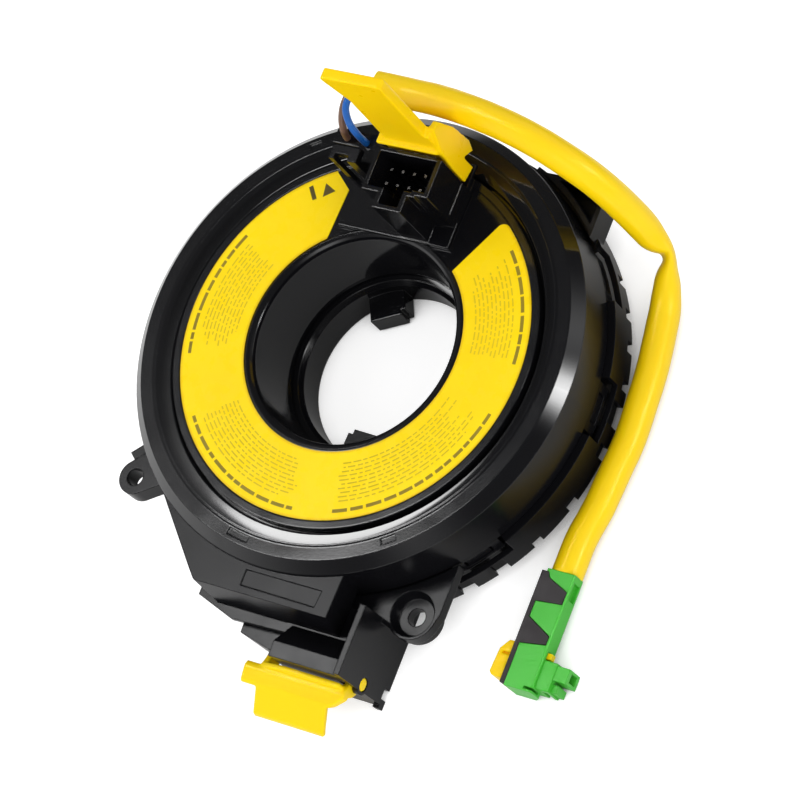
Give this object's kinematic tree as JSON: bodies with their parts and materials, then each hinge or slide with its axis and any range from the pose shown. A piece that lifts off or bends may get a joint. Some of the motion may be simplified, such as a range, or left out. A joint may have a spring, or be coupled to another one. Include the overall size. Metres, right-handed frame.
{
  "type": "steering clock spring",
  "caption": "Rotary steering-column coupling: a turning hub with a socket in a two-part drum with screw ears, a ribbon cable inside and an airbag lead with plug.",
  "frame": {"origin": "on the rotor axis, in the rear plane on which the drum rests", "axes": "+Z along the rotor axis towards the steering wheel, +Y towards the rotor's socket, -Y towards the lower sockets, +X towards the lead's plug"},
  "size_m": [0.1296, 0.1457, 0.076],
  "materials": {
    "shell": "black moulded plastic, satin gloss",
    "rotor": "black moulded plastic",
    "label": "yellow printed film",
    "lock_yellow": "yellow moulded plastic",
    "sleeve_yellow": "soft yellow protective sleeve",
    "wire_blue": "blue wire insulation",
    "wire_brown": "brown wire insulation",
    "plug_green": "green moulded plastic",
    "plug_black": "black moulded plastic",
    "contact": "tinned brass contacts",
    "film": "pale polyester film",
    "ferrite": "dark grey ceramic"
  },
  "bodies": {
    "housing": {"front_cover": "shell", "rear_housing": "shell", "slide_sheet": "film", "ribbon_cable": "film", "stator_lead_block": "plug_black", "connector_carrier": "plug_black", "lower_pins": "contact", "lead_sleeve": "sleeve_yellow", "squib_body": "plug_green", "squib_cover": "plug_black", "squib_contacts": "contact", "squib_ferrite": "ferrite"},
    "rotor": {"rotor_disc": "rotor", "rotor_sleeve": "rotor", "label": "label", "rotor_connector": "rotor", "wire_guide": "rotor", "rotor_pins": "contact", "rotor_lead_block": "plug_black", "wire_blue": "wire_blue", "wire_brown": "wire_brown"},
    "lock": {"transport_lock": "lock_yellow"},
    "lever": {"connector_lever": "lock_yellow"},
    "plug_lock": {"squib_lock": "lock_yellow"}
  },
  "joints": [
    {"name": "rotor_turn", "type": "hinge", "parent": "housing", "child": "rotor", "pos_m": [0, 0, 0.014], "axis": [0, 0, 1], "range_deg": [-720, 720], "deforming": ["ribbon_cable", "lead_sleeve", "wire_blue", "wire_brown"]},
    {"name": "lock_pull", "type": "slide", "parent": "rotor", "child": "lock", "axis": [0, 0, 1], "range_m": [0, 0.025]},
    {"name": "lever_swing", "type": "hinge", "parent": "housing", "child": "lever", "pos_m": [0.012, -0.0728, 0.012], "axis": [1, 0, 0], "range_deg": [0, 40]},
    {"name": "plug_lock_slide", "type": "slide", "parent": "housing", "child": "plug_lock", "axis": [-1, 0, 0], "range_m": [0, 0.003]}
  ]
}
